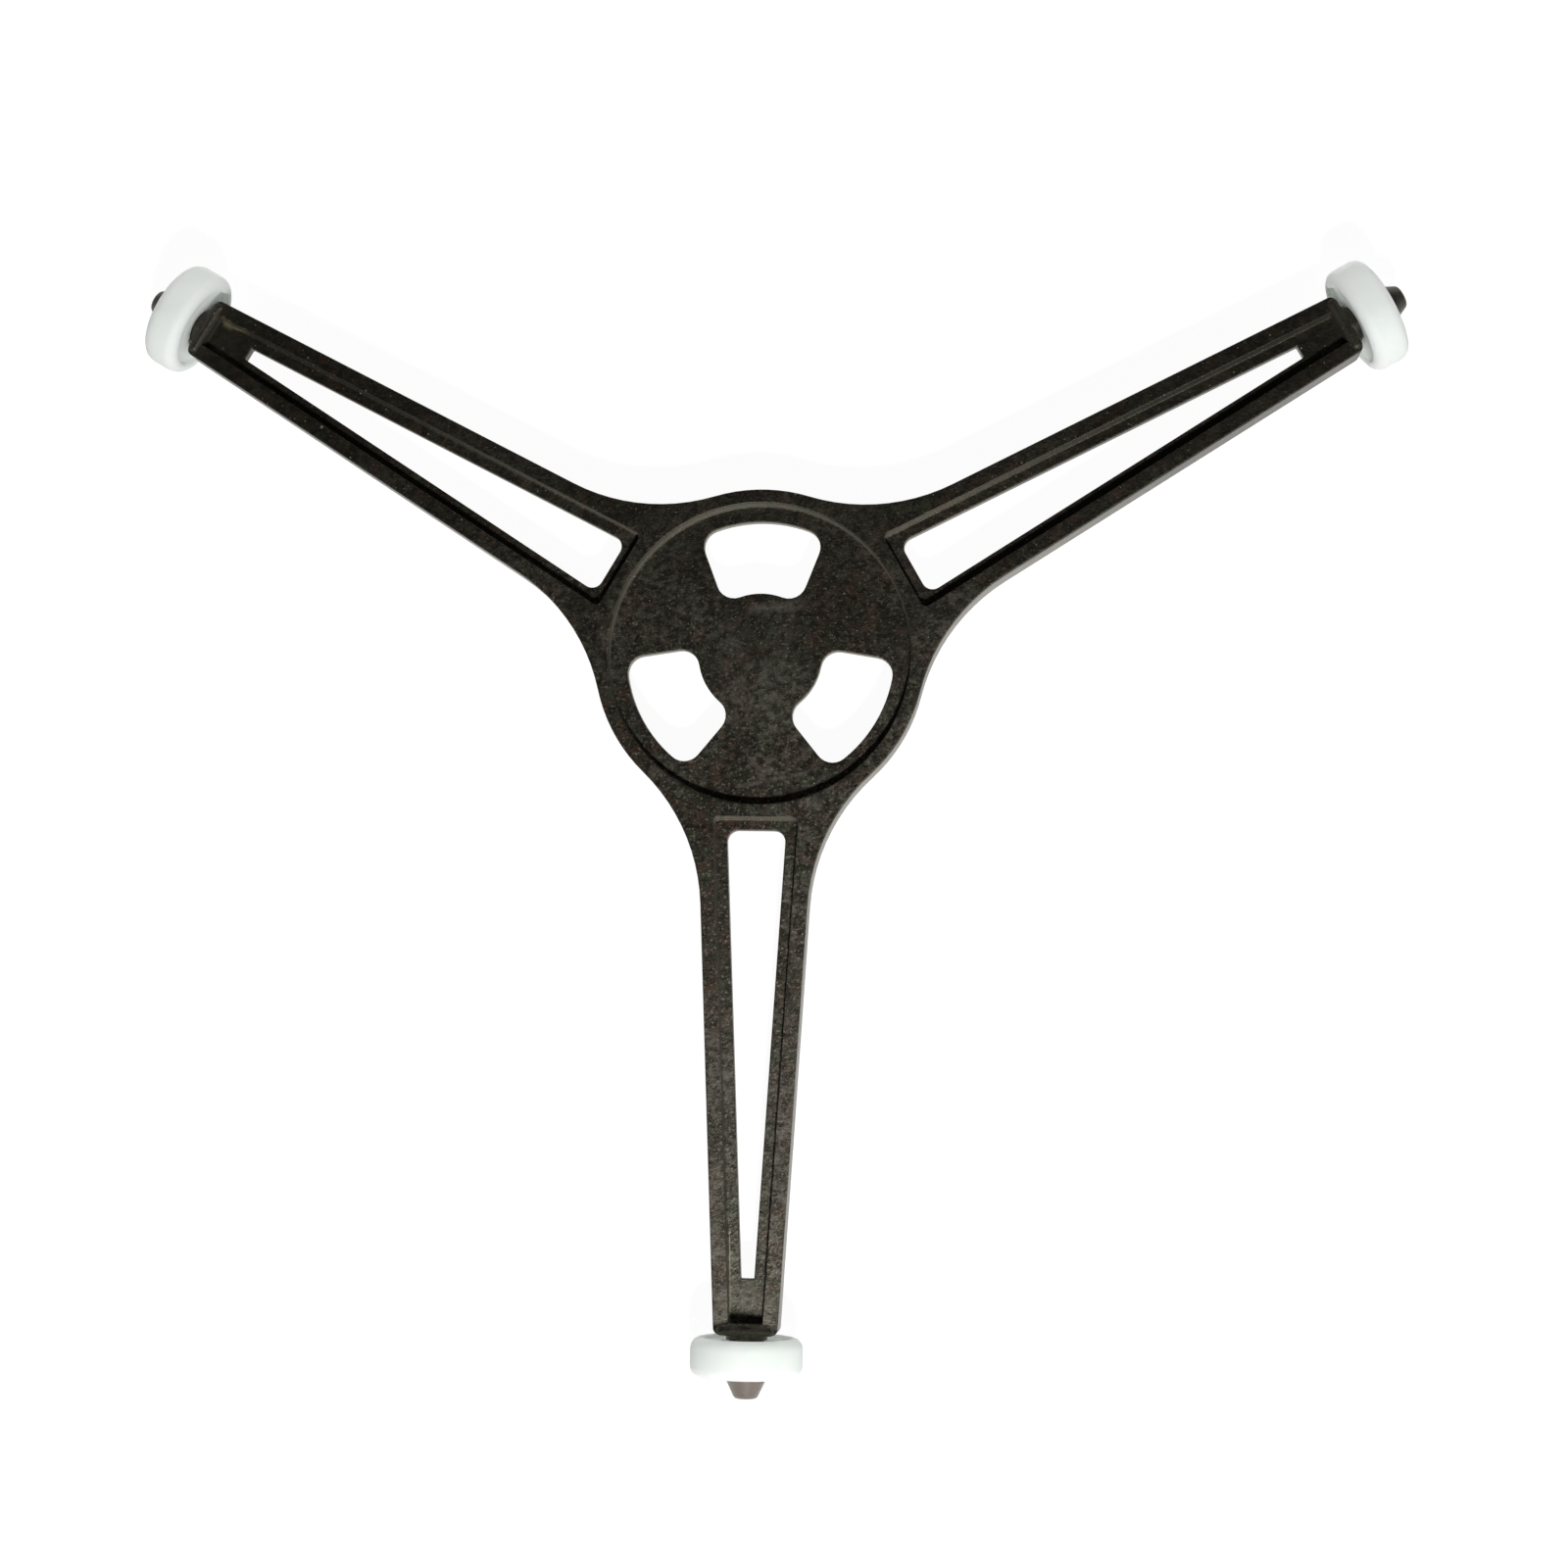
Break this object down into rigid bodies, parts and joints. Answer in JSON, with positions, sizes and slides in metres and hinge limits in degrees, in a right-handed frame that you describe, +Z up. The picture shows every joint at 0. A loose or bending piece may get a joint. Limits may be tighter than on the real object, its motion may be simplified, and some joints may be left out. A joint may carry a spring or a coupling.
{
  "type": "microwave roller ring",
  "caption": "Turntable roller support for a microwave oven: a dark moulded spider with tapered slotted arms and a windowed hub, and a free white roller snapped on the end of each arm.",
  "frame": {"origin": "on the hub axis, in the plane of the roller axles, half way between the tray and the oven floor", "axes": "+Z up along the hub axis, towards the tray; the first arm points along -Y; +X is to the right of that arm seen from above with the arm towards the viewer"},
  "size_m": [0.1857, 0.1642, 0.016],
  "materials": {
    "frame_plastic": "mineral-filled dark brown-grey moulded plastic, matte, with fine mottling and pale specks",
    "roller_plastic": "milky white low-friction plastic, satin, slightly translucent"
  },
  "bodies": {
    "frame": {"spider_frame": "frame_plastic"},
    "front_roller": {"roller_front": "roller_plastic"},
    "right_roller": {"roller_right": "roller_plastic"},
    "left_roller": {"roller_left": "roller_plastic"}
  },
  "joints": [
    {"name": "front_roller_spin", "type": "hinge", "parent": "frame", "child": "front_roller", "pos_m": [0, -0.1004, 0], "axis": [0, -1, 0], "continuous": true},
    {"name": "right_roller_spin", "type": "hinge", "parent": "frame", "child": "right_roller", "pos_m": [0.08695, 0.0502, 0], "axis": [0.866, 0.5, 0], "continuous": true},
    {"name": "left_roller_spin", "type": "hinge", "parent": "frame", "child": "left_roller", "pos_m": [-0.08695, 0.0502, 0], "axis": [-0.866, 0.5, 0], "continuous": true}
  ]
}
